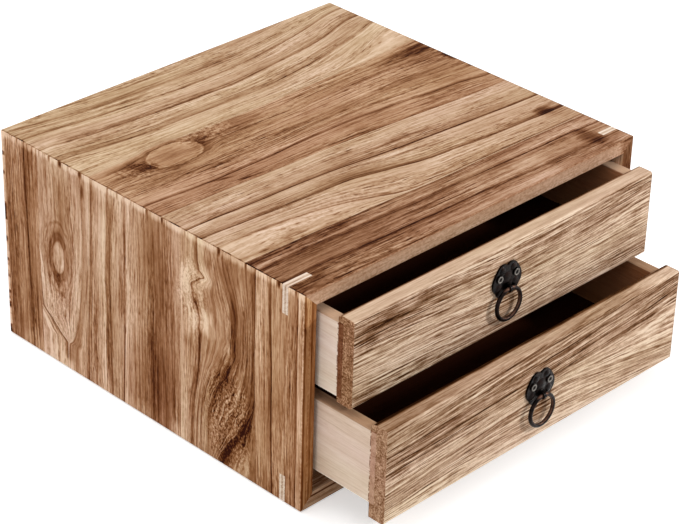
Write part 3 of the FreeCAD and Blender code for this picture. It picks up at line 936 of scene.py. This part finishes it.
# drawer boxes
drawerBox = {
    # both boxes are one pale wood; the upper one's higher lift and paler rim tint are painted light
    # that offsets the shade on it
    "upper": {"rim": 120, "floor": 75, "back": 80.2, "front": -135.8, "bottomTop": 82.5,
              "rimTint": "D2BBA6", "lapTint": "B48E74", "lapTone": (0.22, 0.9), "lift": 0.17},
    "lower": {"rim": 66.6, "floor": 21.6, "back": 54.5, "front": -161.5, "bottomTop": 29.1,
              "rimTint": "C2A992", "lapTint": "E2CCC2", "lapTone": (0.52, 0.7), "lift": -0.02},
    "inside": 111.5, "outside": 119,
    # the floor tint is painted shade: it makes the inner faces of the drawer bottoms near black,
    # for the shade inside the drawers
    "insideTint": "C08C68", "floorTint": "4A2A1C",
    "tintGap": 0.15, "rimDepth": 0.6,  # how far outside a face and below the rim a tint begins
    "margin": 4, "spread": 175, "slopes": (1.6, -1.2, 2),
    "sideShift": 0.5, "backShift": 0.8, "bottomShift": 0.3,
    "bottomRise": (-200, 200), "bottomEnds": (-170, 110), "bottomSlopes": (4, -3),
}
sideTones = [(0.7, 0.6, 0.7), (0.74, 0.62, 0.7), (0.74, 0.64, 0.72), (0.76, 0.6, 0.68),
             (0.72, 0.6, 0.7)]
drawerBoxGrain = {
    "span": (-175, 175), "rise": (0, 140), "lean": 0.2, "sway": 2, "palette": paleTones,
    "streak": 0.3, "fibre": 0.25, "fine": 0.25, "pores": 0.05, "specks": 0.02, "mottle": 0.6,
    "rings": (4, 0.05), "hairs": (3, 0.05),
}


def drawerBoxLook(level, axes, face, tints, shift):
    low, high = level["floor"] - drawerBox["margin"], level["rim"] + drawerBox["margin"]
    first, middle, last = drawerBox["slopes"]
    slopes = (first + shift, middle, last - shift)
    guides = driftingGuides(low, high, sideTones, slopes, drawerBox["spread"])
    return {**drawerBoxGrain, "axes": axes, "face": face, "tints": tints, "lift": level["lift"],
            "strips": [{"line": 0.8, "guides": guides}]}


def dressDrawerBox(name, level):
    gap = drawerBox["tintGap"]
    rim = ("z", level["rim"] - drawerBox["rimDepth"], 1.0, level["rimTint"])
    lap = ("y", level["front"], -1.0, level["lapTint"])
    for side, sign in (("left", 1.0), ("right", -1.0)):
        inner = ("x", -sign * (drawerBox["inside"] + gap), sign, drawerBox["insideTint"])
        look = drawerBoxLook(level, "yzx", -sign * drawerBox["outside"], [inner, rim, lap],
                             drawerBox["sideShift"] * sign)
        # the first band is a dark joint line where the side laps the front; the other two are
        # painted highlights along the bottom and top arrises
        look["bands"] = [("y", level["front"] + 0.2, 0.6, -0.75, 1),
                         ("z", level["floor"], 0.7, 0.4, 0), ("z", level["rim"], 0.5, 0.2, 0)]
        look["ends"] = ("x", 0.0, *level["lapTone"], ("y", level["front"], -1.0))
        finish = woodFinish(name + side.capitalize() + "SideWood", look)
        dress(name + "_drawer_" + side + "_side", finish)
    inner = ("y", level["back"] + gap, -1.0, drawerBox["insideTint"])
    look = drawerBoxLook(level, "xzy", level["back"], [inner, rim], drawerBox["backShift"])
    dress(name + "_drawer_back", woodFinish(name + "DrawerBackWood", look))
    # painted shade: the inner face of the bottom gets the near-black floor tint
    inner = ("z", level["bottomTop"] - gap, 1.0, drawerBox["floorTint"])
    look = drawerBoxLook(level, "xyz", level["bottomTop"], [inner], drawerBox["bottomShift"])
    look["rise"] = drawerBox["bottomRise"]
    slopes, spread = drawerBox["bottomSlopes"], drawerBox["spread"]
    guides = driftingGuides(*drawerBox["bottomEnds"], sideTones, slopes, spread)
    look["strips"][0]["guides"] = guides
    dress(name + "_drawer_bottom", woodFinish(name + "DrawerBottomWood", look))


for name in ("upper", "lower"):
    dressDrawerBox(name, drawerBox[name])
print("drawer boxes dressed")

# pulls
pulls = {  # the nails' middle and level, and the centre of the ring
    "upper": {"nails": (-3.0, 106.0), "ring": (-3.0, -149.9, 89.4)},
    "lower": {"nails": (0.5, 48.4), "ring": (0.5, -175.6, 31.8)},
}
ironLook = {
    # the last colour on the next line is a painted highlight and reflection on the rings' wire; the
    # facing, patch and crown ranges below place it
    "dark": "080606", "brown": "1C100C", "worn": "77726C", "paintedGlint": "8A6250",
    "brownRange": (0.4, 0.65), "roughness": (0.3, 0.7, 0.28, 0.5),
    "nailReach": 6.6, "wornGrit": 0.5, "wornShare": 0.85,
    "wornFrom": (1.0, 1.2), "wornTo": (2.0, 2.2, 1.0, 0.0),
    "facing": (0.35, 0.9), "glintPatches": (0.35, 0.6, 0.15, 0.45), "crown": (9.0, 10.2, 0.0, 0.5),
    "metallic": 0.9, "specular": 0.2, "coat": 0.05, "coatRoughness": 0.18,
    "gritRelief": 0.25, "bump": (0.5, 0.0004),
}


def wornNails(tree, look, coords, grit, nails):  # the brighter ring on each nail's head
    middle, level = nails
    parts = parted(tree, coords)
    besides = calc(tree, "ABSOLUTE", minus(tree, parts[0], middle))
    across = minus(tree, besides, look["nailReach"])
    flat = joined(tree, across, minus(tree, parts[2], level))
    reach = addUp(tree, vectorCalc(tree, "LENGTH", flat), swing(tree, grit, look["wornGrit"]))
    ring = times(tree, remap(tree, reach, *look["wornFrom"]), remap(tree, reach, *look["wornTo"]))
    return times(tree, ring, look["wornShare"])


def paintedWireGlint(tree, look, coords, patches, centre):  # painted highlight and reflection: paler on the wire's inner side, which faces the ring's middle, and on its top
    inward = vectorCalc(tree, "NORMALIZE", vectorCalc(tree, "SUBTRACT", centre, coords))
    normal = addNode(tree, "TexCoord").outputs["Normal"]
    facing = remap(tree, vectorCalc(tree, "DOT_PRODUCT", inward, normal), *look["facing"])
    paintedGlint = times(tree, facing, remap(tree, patches, *look["glintPatches"]))
    level = parted(tree, vectorCalc(tree, "SUBTRACT", coords, centre))[2]
    return calc(tree, "MAXIMUM", paintedGlint, remap(tree, level, *look["crown"]))


def ironFinish(name, look, nails=None, centre=None):
    finish, tree, shader = newFinish(name)
    coords = addNode(tree, "TexCoord").outputs["Object"]
    coords = vectorCalc(tree, "MULTIPLY", coords, toMillimetres)
    patches = noiseAt(tree, coords, "ironPatches")
    grit = noiseAt(tree, coords, "ironGrit")
    brown = remap(tree, patches, *look["brownRange"])
    colour = mixColour(tree, brown, hue(look["dark"]), hue(look["brown"]))
    if nails is not None:
        ring = wornNails(tree, look, coords, grit, nails)
        colour = mixColour(tree, ring, colour, hue(look["worn"]))
    if centre is not None:
        bright = paintedWireGlint(tree, look, coords, patches, centre)
        colour = mixColour(tree, bright, colour, hue(look["paintedGlint"]))
    feed(tree, shader.inputs["Base Color"], colour)
    feed(tree, shader.inputs["Roughness"], remap(tree, patches, *look["roughness"]))
    shader.inputs["Metallic"].default_value = look["metallic"]
    shader.inputs["Specular IOR Level"].default_value = look["specular"]
    shader.inputs["Coat Weight"].default_value = look["coat"]
    shader.inputs["Coat Roughness"].default_value = look["coatRoughness"]
    dents = noiseAt(tree, coords, "ironDents")
    roughen(tree, shader, calc(tree, "MULTIPLY_ADD", grit, look["gritRelief"], dents), look["bump"])
    return finish


for name, pull in pulls.items():
    dress(name + "_pull_plate", ironFinish(name + "PlateIron", ironLook))
    dress(name + "_pull_ring", ironFinish(name + "RingIron", ironLook, centre=pull["ring"]))
    dress(name + "_pull_nails", ironFinish(name + "NailIron", ironLook, nails=pull["nails"]))
print("pulls dressed")
